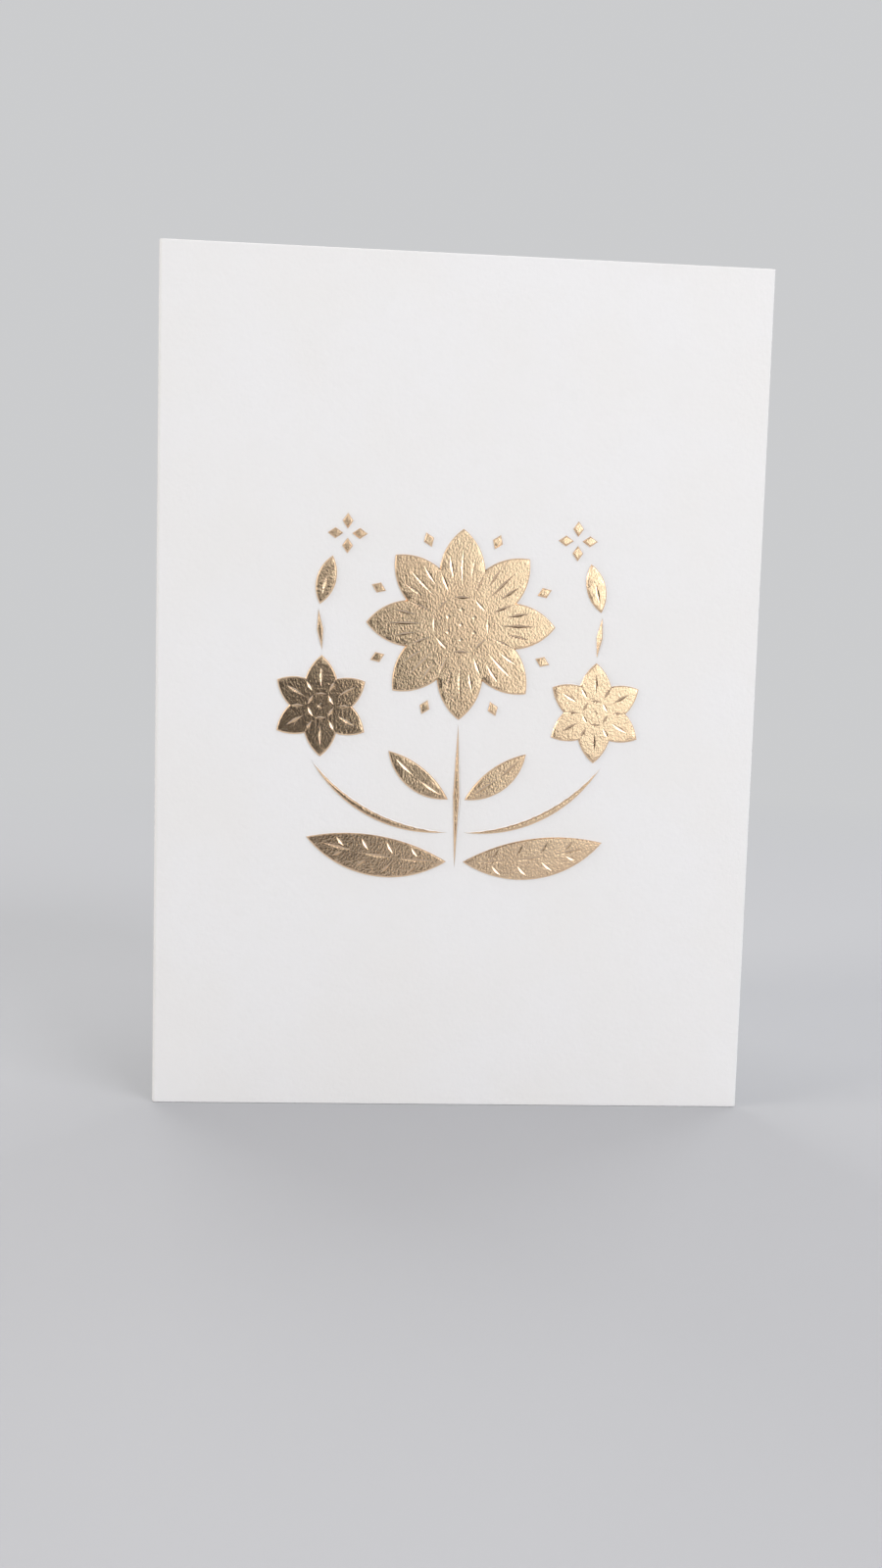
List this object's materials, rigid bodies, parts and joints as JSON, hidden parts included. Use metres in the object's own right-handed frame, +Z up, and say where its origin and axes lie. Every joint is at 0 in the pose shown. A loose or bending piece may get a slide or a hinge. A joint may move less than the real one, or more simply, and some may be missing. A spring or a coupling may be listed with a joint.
{
  "type": "greeting card",
  "caption": "Tall folded card in soft white board, standing open, with a raised flower emblem in gold foil on its front leaf.",
  "frame": {"origin": "centre of the bounding box on the surface that the card stands on", "axes": "+Z up along the fold; the front leaf lies in the XZ plane and faces -Y; the fold is at -X"},
  "size_m": [0.105, 0.0814, 0.148],
  "materials": {
    "paper": "uncoated soft cotton board",
    "gold_foil": "hot-pressed satin metal foil"
  },
  "bodies": {
    "root": {"card": "paper", "foil_large_bloom": "gold_foil", "foil_main_stem": "gold_foil", "foil_diamonds": "gold_foil", "foil_side_bloom_left": "gold_foil", "foil_side_stem_left": "gold_foil", "foil_leaf_left": "gold_foil", "foil_small_leaf_left": "gold_foil", "foil_bud_left": "gold_foil", "foil_bud_stem_left": "gold_foil", "foil_floret_left": "gold_foil", "foil_side_bloom_right": "gold_foil", "foil_side_stem_right": "gold_foil", "foil_leaf_right": "gold_foil", "foil_small_leaf_right": "gold_foil", "foil_bud_right": "gold_foil", "foil_bud_stem_right": "gold_foil", "foil_floret_right": "gold_foil"}
  },
  "joints": []
}
